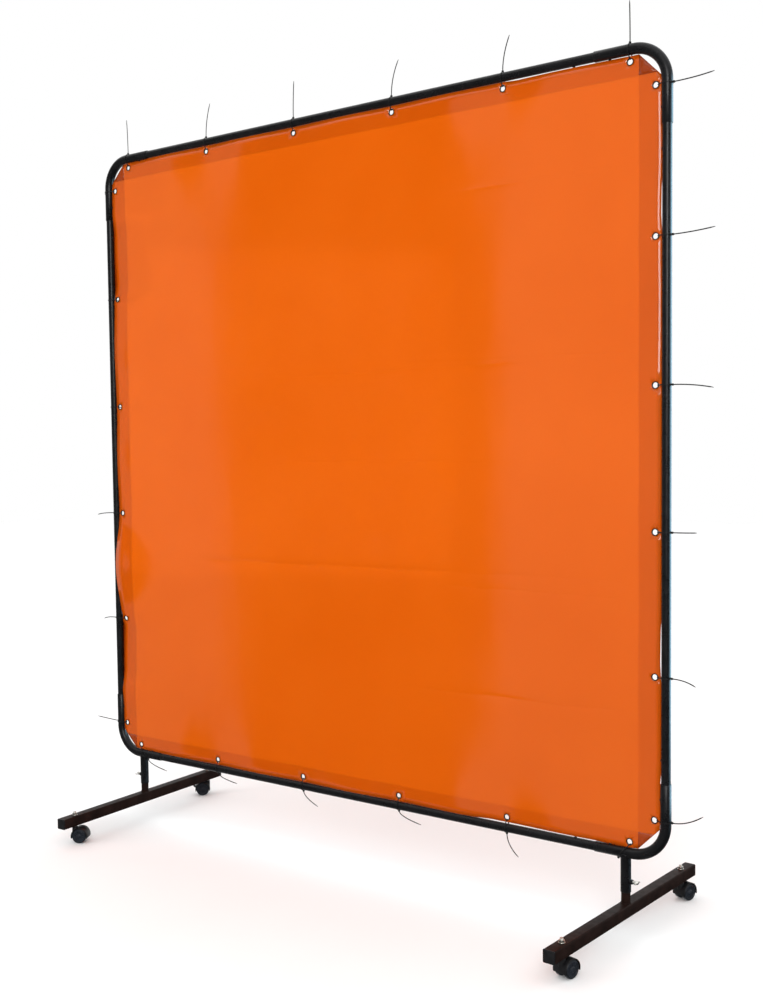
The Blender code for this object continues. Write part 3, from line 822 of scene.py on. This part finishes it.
def tie_loop(tube_radius, skew):
    """The strap's loop round the tube and through the eyelet, in the side's own frame."""
    big = tube_radius + TIE_CLEARANCE + TIE_THICKNESS / 2
    small = TIE_NOSE_RADIUS + TIE_THICKNESS / 2
    lean = math.asin((big - small) / TIE_NOSE)
    over_steps, nose_steps = 24, 8
    centres = []
    for k in range(over_steps + 1):
        angle = -lean + (math.pi + 2 * lean) * k / over_steps
        centres.append((big * math.cos(angle), big * math.sin(angle), angle))
    for k in range(nose_steps + 1):
        angle = math.pi + lean + (math.pi - 2 * lean) * k / nose_steps
        centres.append((small * math.cos(angle), small * math.sin(angle) - TIE_NOSE, angle))
    reach = TIE_NOSE + tube_radius
    rings = []
    for y, z, angle in centres:
        shift = skew * min(1.0, (z + TIE_NOSE) / reach)
        out = Vector((0, math.cos(angle), math.sin(angle)))
        ring = [Vector((shift + u, y, z)) + out * v for u, v in strap_section(TIE_WIDTH, TIE_THICKNESS)]
        rings.append(ring)
    return loft(rings, closed=True)


def tie_head(base, skew):
    """The locking head: a rounded block with a raised mouth."""
    block = rounded_outline([(-0.5, -0.5), (0.5, -0.5), (0.5, 0.5), (-0.5, 0.5)], 0.22)
    width, depth, height = TIE_HEAD
    outline = [(skew + p[0] * width, p[1] * depth) for p in block]
    mouth = [(skew + p[0] * width * 0.66, p[1] * depth * 0.6) for p in block]
    return merged(
        softened_prism(outline, base, base + height, 0.0005),
        softened_prism(mouth, base + height * 0.9, base + height + 0.0007, 0.0003),
    )


def tie_tail(start, tip):
    """The strap's free end: it leaves the head straight, drifts, and narrows to a point. It is ribbed."""
    steps = 72
    reach = tip - start
    centres = []
    for k in range(steps + 1):
        share = k / steps
        bend = share**1.7
        centres.append(start + Vector((reach.x * bend, reach.y * bend, reach.z * share**0.85)))
    rings = []
    for k, centre in enumerate(centres):
        heading = (centres[min(k + 1, steps)] - centres[max(k - 1, 0)]).normalized()
        wide = Vector((0, 1, 0)).cross(heading).normalized()
        thick = heading.cross(wide)
        narrow = min(1.0, 0.45 + (1 - k / steps) * 5)
        rib = 0.00010 * (-1) ** k if k < steps * 0.85 else 0.0
        section = strap_section(TIE_WIDTH * narrow, TIE_THICKNESS * 0.85 + rib)
        rings.append([centre + wide * u + thick * v for u, v in section])
    return loft(rings)


def tail_tip(node, to_side, head):
    """Where a CAD tie's tail ends, in its side's frame: the middle of its farthest corners."""
    points = [to_side @ v.co for v in frame["nodes"][node].data.vertices]
    farthest = max((p - head).length for p in points)
    corners = [p for p in points if (p - head).length > farthest - TIE_WIDTH]
    return sum(corners, Vector()) / len(corners)


def make_ties():
    straight = HALF - ELBOW_REACH
    for side in SIDES:
        for number, place in enumerate(eyelet_places(), start=1):
            node = f"{side}_tie_{number}"
            on_elbow = abs(place) > straight
            tube = ELBOW_RADIUS if on_elbow else RAIL_RADIUS
            skew = math.copysign(TIE_SKEW, -place) if side == "bottom" and on_elbow else 0.0
            to_world = side_matrix(side) @ Matrix.Translation((place, 0, 0))
            base = tube + TIE_CLEARANCE + TIE_THICKNESS * 0.4
            head = Vector((skew, 0, base + TIE_HEAD[2] / 2))
            tip = tail_tip(node, to_world.inverted(), head)
            swing = Matrix.Rotation(math.pi / 2 if tip.z < 0 else 0.0, 4, "X")
            tail = tie_tail(head, swing.inverted() @ tip)
            ends = moved(merged(tie_head(base, skew), tail), swing)
            piece = mesh_object(f"{node}_strap", *moved(merged(tie_loop(tube, skew), ends), to_world), NYLON)
            settle(piece, "frame", node)


# ---- feet


def foot_matrix(side):
    """The foot's own frame: its bar runs along Y, and its post stands on the origin."""
    front = Vector(joint_named(f"{side}_front_swivel")["pos_m"])
    rear = Vector(joint_named(f"{side}_rear_swivel")["pos_m"])
    lie = rear - front
    turn = math.atan2(-lie.x, lie.y)
    post = joint_named(f"{side}_foot_turn")["pos_m"]
    return Matrix.Translation((post[0], post[1], 0)) @ Matrix.Rotation(turn, 4, "Z")


def make_foot_bar(side):
    """The square bar with its welded stub post."""
    place = foot_matrix(side)
    caps = [place.inverted() @ box_middle(f"{side}_{end}_cap") for end in ("front", "rear")]
    half = (caps[1].y - caps[0].y) / 2 + CAP_REACH - CAP_THICKNESS - TOUCH_GAP
    wall = 0.0016
    outer, inner = rounded_square(BAR_SIDE / 2, 0.003), rounded_square(BAR_SIDE / 2 - wall, 0.0014)
    sections = [(outer, -half), (outer, half), (inner, half), (inner, -half)]
    rings = [[(x, y, z) for x, y in ring] for ring, z in sections]
    lay = Matrix.Translation((0, 0, BAR_TOP - BAR_SIDE / 2)) @ Matrix.Rotation(math.pi / 2, 4, "X")
    bar = moved(loft(rings, closed=True), lay)
    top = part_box(f"{side}_foot_bar")[1][2]
    post = turned([(RAIL_RADIUS, BAR_TOP - 0.0008), (RAIL_RADIUS, top)])
    ring = [(*p, BAR_TOP + TOUCH_GAP) for p in circle(RAIL_RADIUS + TOUCH_GAP, 72)]
    bead = weld_bead(ring, 0.0017, lambda p: (p[0], p[1], 0), 9)
    piece = mesh_object(f"{side}_foot_frame", *moved(merged(bar, post, bead), place), BASE_COAT)
    settle(piece, f"{side}_foot", f"{side}_foot_bar")


def make_end_cap(side, end):
    sy = -1 if end == "front" else 1
    place = foot_matrix(side)
    middle = place.inverted() @ box_middle(f"{side}_{end}_cap")
    thick = CAP_THICKNESS
    mouth = middle + Vector((0, sy * (CAP_REACH - thick), 0))
    full, eased = rounded_square(BAR_SIDE / 2, 0.003), rounded_square(BAR_SIDE / 2 - 0.0009, 0.0026)
    plug = rounded_square(BAR_SIDE / 2 - 0.0019, 0.0012)
    sections = [(plug, -0.012), (plug, 0.0), (full, 0.0), (full, thick - 0.0009), (eased, thick)]
    shape = loft([[(x, y, z) for x, y in ring] for ring, z in sections])
    piece = mesh_object(f"{side}_{end}_plug", *moved(shape, place @ along((0, sy, 0), mouth)), BLACK_PLASTIC)
    settle(piece, f"{side}_foot", f"{side}_{end}_cap")


def make_stem(side, end):
    """The caster's threaded stem, with its collar below the bar, and its washer and nut above."""
    name = f"{side}_{end}"
    spot = Vector(joint_named(f"{name}_swivel")["pos_m"])
    place = Matrix.Translation((spot.x, spot.y, 0)) @ foot_matrix(side).to_3x3().to_4x4()
    low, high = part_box(f"{name}_stem")[0][2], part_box(f"{name}_stem")[1][2]
    rod = turned([(0.0039, low), (0.0039, BAR_TOP), *thread_profile(0.0039, BAR_TOP, high)], 40)
    collar_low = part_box(f"{name}_housing")[1][2] + TOUCH_GAP
    collar = [(0.0055, collar_low), (0.0064, collar_low + 0.0007), (0.0064, BAR_BOTTOM - TOUCH_GAP)]
    washer = turned_ring([(0.0042, 0.0), (0.0080, 0.0), (0.0082, 0.0005), (0.0080, 0.0010), (0.0042, 0.0010)])
    washer = moved(washer, Matrix.Translation((0, 0, BAR_TOP + 0.0002)))
    nut = hex_nut(across=0.0126, height=0.0050, bore=0.0041)
    nut = moved(nut, Matrix.Translation((0, 0, BAR_TOP + 0.0012)))
    piece = mesh_object(f"{name}_bolt", *moved(merged(rod, turned(collar, 40), washer, nut), place), ZINC)
    settle(piece, f"{side}_foot", f"{name}_stem")


def make_wing_bolt(side):
    """A clamp bolt with a turned hub and two rounded wings."""
    sx = 1 if side == "right" else -1
    low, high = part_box(f"{side}_wing_bolt")
    start = ELBOW_RADIUS - SOCKET_RADIUS_STEP - 0.0005 + CLAMP_NUT_HEIGHT + 0.0015
    end = max(abs(low[0]), abs(high[0])) - POST_X
    shank = thread_profile(0.0027, RAIL_RADIUS + TOUCH_GAP, start, 0.0008)
    hub = [
        (0.0030, start), (0.0044, start + 0.0006), (0.0045, start + 0.0058),
        (0.0040, end - 0.0014), (0.0026, end),
    ]
    corners = [
        (0.002, 0.001), (0.0085, 0.0035), (0.0125, 0.009), (0.011, 0.0125), (0.007, 0.0115), (0.002, 0.008),
    ]
    stand = Matrix(((0, 0, 1, 0), (1, 0, 0, 0), (0, 1, 0, 0), (0, 0, 0, 1)))
    shapes = [turned([*shank, *hub], 40)]
    for sign in (1, -1):
        outline = rounded_outline([(sign * y, start + z) for y, z in corners[::sign]], 0.0018)
        shapes.append(moved(softened_prism(outline, -0.0012, 0.0012, 0.0005), stand))
    place = Matrix.Translation((sx * POST_X, 0, CLAMP_Z)) @ Matrix.Rotation(sx * math.pi / 2, 4, "Y")
    piece = mesh_object(f"{side}_wing_screw", *moved(merged(*shapes), place), ZINC)
    settle(piece, f"{side}_wing_bolt", f"{side}_wing_bolt")


# ---- casters


def caster_matrix(name):
    """The caster's own frame: its stem is on Z, it trails along +X, and its axle lies along Y."""
    spot = joint_named(f"{name}_swivel")["pos_m"]
    axle = joint_named(f"{name}_wheel_a_roll")["axis"]
    return Matrix.Translation((spot[0], spot[1], 0)) @ Matrix.Rotation(math.atan2(-axle[0], axle[1]), 4, "Z")


def hood_section(low_y, high_y):
    """The hood's section between two planes, as (radius, y): a thin roof with eased edges."""
    ease = 0.0014
    ends = []
    for y in (low_y, high_y):
        if abs(y) < HOOD_HALF_WIDTH:
            ends.append([(WEB_BOTTOM, y), (HOOD_RADIUS, y)])
            continue
        inward = -math.copysign(ease, y)
        ends.append([
            (HOOD_CLEARANCE + TOUCH_GAP, y), (HOOD_RADIUS - ease, y),
            (HOOD_RADIUS - ease * 0.3, y + inward * 0.4), (HOOD_RADIUS, y + inward),
        ])
    return ends


def hood_part(low_y, high_y, start, end, steps):
    """A slice of the hood and its web between two planes and two angles about the axle."""
    first, last = hood_section(low_y, high_y)
    section = [*first, *reversed(last)]
    if high_y > WEB_HALF_WIDTH:
        section += [(HOOD_CLEARANCE, WEB_HALF_WIDTH), (WEB_BOTTOM, WEB_HALF_WIDTH)]
    if low_y < -WEB_HALF_WIDTH:
        section += [(WEB_BOTTOM, -WEB_HALF_WIDTH), (HOOD_CLEARANCE, -WEB_HALF_WIDTH)]
    rings = []
    for k in range(steps + 1):
        a = start + (end - start) * k / steps
        c, s = math.cos(a), math.sin(a)
        rings.append([(CASTER_TRAIL + r * c, y, WHEEL_RADIUS + r * s) for r, y in section])
    points, faces = loft(rings)
    return points, [face[::-1] for face in faces]


def make_housing(name, braked):
    low_z, high_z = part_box(f"{name}_housing")[0][2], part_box(f"{name}_housing")[1][2]
    dip = math.asin((low_z - WHEEL_RADIUS) / HOOD_RADIUS)
    slot_end = math.radians(54)
    start, end = dip, math.pi - dip
    wide = HOOD_HALF_WIDTH
    if braked:
        shapes = [
            hood_part(BRAKE_SLOT, wide, start, end, 40),
            hood_part(-wide, -BRAKE_SLOT, start, end, 40),
            hood_part(-BRAKE_SLOT, BRAKE_SLOT, slot_end, end, 26),
        ]
    else:
        shapes = [hood_part(-wide, wide, start, end, 40)]
    low = 0.028
    boss = [(0.0085, low), (0.0085, high_z - 0.0012), (0.0078, high_z), (0.0043, high_z), (0.0043, low)]
    axle = turned([(0.0029, -0.0162), (0.0029, 0.0162)], 32)
    axle = moved(axle, along((0, 1, 0), (CASTER_TRAIL, 0, WHEEL_RADIUS)))
    shape = moved(merged(*shapes, turned(boss, 40), axle), caster_matrix(name))
    piece = mesh_object(f"{name}_hood", *shape, BLACK_PLASTIC)
    settle(piece, f"{name}_caster", f"{name}_housing")


def make_wheel(name, letter, side):
    """A wheel with a crowned tread, a stepped rim, a dished face with a ring of ribs, and a hub cap."""
    width = WHEEL_OUTER - WHEEL_INNER
    r = WHEEL_RADIUS
    profile = [
        (0.0033, 0.0098), (0.0033, 0.0), (r - 0.0040, 0.0), (r - 0.0018, 0.0004), (r - 0.0004, 0.0018),
        (r, 0.0040), (r, width - 0.0040), (r - 0.0004, width - 0.0018), (r - 0.0016, width - 0.0005),
        (r - 0.0030, width), (r - 0.0044, width - 0.0002), (r - 0.0050, width - 0.0010),
        (r - 0.0080, width - 0.0016), (0.0072, width - 0.0014), (0.0066, width - 0.0008),
        (0.0060, width - 0.0002), (0.0040, width + 0.0003), (0.0002, width + 0.0004),
    ]
    shapes = [turned(profile, 64)]
    rib = [(0.0078, -0.0004), (r - 0.0056, -0.0004), (r - 0.0056, 0.0004), (0.0078, 0.0004)]
    rib = softened_prism(rib, width - 0.0022, width - 0.0009, 0.00015)
    shapes += [moved(rib, Matrix.Rotation(2 * math.pi * k / RIBS, 4, "Z")) for k in range(RIBS)]
    stand = along((0, side, 0), (CASTER_TRAIL, side * WHEEL_INNER, WHEEL_RADIUS))
    shape = moved(merged(*shapes), caster_matrix(name) @ stand)
    piece = mesh_object(f"{name}_roller_{letter}", *shape, WHEEL_PLASTIC)
    settle(piece, f"{name}_wheel_{letter}", f"{name}_wheel_{letter}")


def make_brake(name):
    """A brake pedal: a ring on the axle, an arm through the hood's slot, and a ridged toe pad."""
    half = BRAKE_SLOT - 0.0004
    tilt = Matrix.Rotation(math.radians(PEDAL_TILT), 4, "Z")
    ring = turned_ring([(0.0033, -half), (0.0070, -half), (0.0070, half), (0.0033, half)], 40)
    arm = rounded_outline([(0.004, -0.002), (0.0262, -0.001), (0.0262, 0.0035), (0.004, 0.003)], 0.0006)
    arm = moved(softened_prism(arm, -half, half, 0.0003), tilt)
    pad = [(0.0256, -0.0015), (0.0330, 0.0035), (0.0335, 0.0060), (0.0320, 0.0066), (0.0252, 0.0050)]
    pad = moved(softened_prism(rounded_outline(pad, 0.0012), -0.0065, 0.0065, 0.0006), tilt)
    place = caster_matrix(name) @ Matrix.Translation((CASTER_TRAIL, 0, WHEEL_RADIUS))
    lie = place @ Matrix.Rotation(math.pi / 2, 4, "X")
    piece = mesh_object(f"{name}_pedal", *moved(merged(ring, arm, pad), lie), BLACK_PLASTIC)
    settle(piece, f"{name}_brake", f"{name}_brake")


def make_feet():
    for side in ("left", "right"):
        make_foot_bar(side)
        make_wing_bolt(side)
        for end in ("front", "rear"):
            name = f"{side}_{end}"
            braked = f"{name}_brake" in frame["nodes"]
            make_end_cap(side, end)
            make_stem(side, end)
            make_housing(name, braked)
            make_wheel(name, "a", 1)
            make_wheel(name, "b", -1)
            if braked:
                make_brake(name)


# ---- studio


def make_camera():
    data = bpy.data.cameras.new("camera")
    data.lens = CAMERA_LENS
    data.shift_x, data.shift_y = CAMERA_SHIFT
    camera = bpy.data.objects.new("camera", data)
    turn = Matrix.Rotation(math.radians(CAMERA_YAW), 4, "Z")
    turn = turn @ Matrix.Rotation(math.radians(CAMERA_PITCH), 4, "X")
    turn = turn @ Matrix.Rotation(math.radians(CAMERA_ROLL), 4, "Y")
    camera.matrix_world = Matrix.Translation(CAMERA_PLACE) @ turn @ Matrix.Rotation(math.pi / 2, 4, "X")
    bpy.context.scene.collection.objects.link(camera)
    bpy.context.scene.camera = camera


def softbox(name, place, target, size, watts, color=(1, 1, 1), glossy=True, only_on=()):
    """A soft area light. With only_on, it lights those pieces' gloss and nothing else."""
    data = bpy.data.lights.new(name, "AREA")
    data.shape = "RECTANGLE"
    data.size, data.size_y = size
    data.energy = watts
    data.color = color
    light = bpy.data.objects.new(name, data)
    aim = Vector(target) - Vector(place)
    light.matrix_world = Matrix.Translation(place) @ aim.to_track_quat("-Z", "Y").to_matrix().to_4x4()
    light.visible_camera = False
    light.visible_glossy = glossy
    if only_on:
        light.visible_diffuse = False
        lit = bpy.data.collections.new(f"{name}_lit")
        for piece in only_on:
            lit.objects.link(piece)
        light.light_linking.receiver_collection = lit
    bpy.context.scene.collection.objects.link(light)


# Brightness of the studio's walls by their bearing: degrees from the front, positive to the right.
# LOW_WALLS is the ring below the horizon, and the ceiling has one brightness all round.
WALLS = (
    (-180, 1.0), (-90, 1.0), (-75, 0.40), (-44.6, 0.40), (-43.4, 0.03), (-32.4, 0.03),
    (-31.8, 0.50), (-12, 0.50), (10, 0.30), (60, 0.30), (110, 0.8), (180, 1.0),
)
LOW_WALLS = (
    (-180, 0.5), (-130, 0.8), (-90, 0.3), (-75, 0.36), (-44.6, 0.36), (-43.4, 0.03), (-32.4, 0.03),
    (-31.8, 0.44), (-12, 0.40), (10, 0.10), (40, 0.04), (165, 0.04), (180, 0.4),
)
HORIZON_BAND = (-0.30, -0.02)
CEILING_BAND = (0.45, 0.75)
CEILING = 1.5


def ring_of_walls(tree, bearing, stops):
    ramp = add_node(tree, "ShaderNodeValToRGB")
    points = ramp.color_ramp.elements
    for k, (degrees, value) in enumerate(stops):
        share = (degrees + 180) / 360
        point = points[k] if k < 2 else points.new(share)
        point.position = share
        point.color = (value, value, value, 1)
    tree.links.new(bearing, ramp.inputs["Fac"])
    return ramp.outputs["Color"]


def blend_by_height(tree, height, band, low, high):
    share = add_node(tree, "ShaderNodeMapRange", {"From Min": band[0], "From Max": band[1]})
    mix = add_node(tree, "ShaderNodeMix")
    mix.data_type = "RGBA"
    tree.links.new(height, share.inputs["Value"])
    tree.links.new(share.outputs["Result"], mix.inputs["Factor"])
    tree.links.new(low, mix.inputs["A"])
    if isinstance(high, float):
        mix.inputs["B"].default_value = (high, high, high, 1)
    else:
        tree.links.new(high, mix.inputs["B"])
    return mix.outputs["Result"]


def make_world():
    """White to the camera. To all else, pale walls with a dark gap at the front, and a bright ceiling."""
    world = bpy.data.worlds.new("studio")
    world.use_nodes = True
    tree = world.node_tree
    place = add_node(tree, "ShaderNodeTexCoord")
    split = add_node(tree, "ShaderNodeSeparateXYZ")
    flip = add_node(tree, "ShaderNodeMath")
    flip.operation = "MULTIPLY"
    flip.inputs[1].default_value = -1.0
    bearing = add_node(tree, "ShaderNodeMath")
    bearing.operation = "ARCTAN2"
    share = add_node(tree, "ShaderNodeMapRange", {"From Min": -math.pi, "From Max": math.pi})
    for start, end in (
        (place.outputs["Generated"], split.inputs["Vector"]),
        (split.outputs["Y"], flip.inputs[0]),
        (split.outputs["X"], bearing.inputs[0]),
        (flip.outputs["Value"], bearing.inputs[1]),
        (bearing.outputs["Value"], share.inputs["Value"]),
    ):
        tree.links.new(start, end)
    height = split.outputs["Z"]
    walls = ring_of_walls(tree, share.outputs["Result"], WALLS)
    low_walls = ring_of_walls(tree, share.outputs["Result"], LOW_WALLS)
    sides = blend_by_height(tree, height, HORIZON_BAND, low_walls, walls)
    around = blend_by_height(tree, height, CEILING_BAND, sides, CEILING)
    lit = tree.nodes["Background"]
    tree.links.new(around, lit.inputs["Color"])
    white = add_node(tree, "ShaderNodeBackground", {"Color": (1, 1, 1, 1)})
    ray = add_node(tree, "ShaderNodeLightPath")
    mix = add_node(tree, "ShaderNodeMixShader")
    tree.links.new(ray.outputs["Is Camera Ray"], mix.inputs["Fac"])
    tree.links.new(lit.outputs["Background"], mix.inputs[1])
    tree.links.new(white.outputs["Background"], mix.inputs[2])
    tree.links.new(mix.outputs["Shader"], tree.nodes["World Output"].inputs["Surface"])
    bpy.context.scene.world = world
    bpy.context.scene.view_settings.view_transform = "Standard"


def make_studio():
    reach = 14
    corners = [(-reach, -reach, 0), (reach, -reach, 0), (reach, reach, 0), (-reach, reach, 0)]
    floor = mesh_object("floor", corners, [(0, 1, 2, 3)], pale_floor())
    floor.visible_glossy = False
    floor.visible_transmission = False
    make_world()
    softbox("key", (3.4, -4.8, 3.0), (0, 0, 1.0), (2.5, 2.5), 180)
    softbox("fill", (-4.2, -4.6, 1.4), (0, 0, 1.0), (2.5, 2.5), 105, glossy=False)
    tubes = [o for o in bpy.data.objects if o.name.endswith(("_corner", "_tube"))]
    sky_blue = (0.45, 0.78, 1.0)
    softbox("rim", (2.72, 1.74, 1.25), (0.92, 0, 1.25), (3.0, 2.9), 380, sky_blue, only_on=tubes)


make_camera()
make_elbows()
make_rails()
make_screws()
make_curtain()
make_ties()
make_feet()
make_studio()
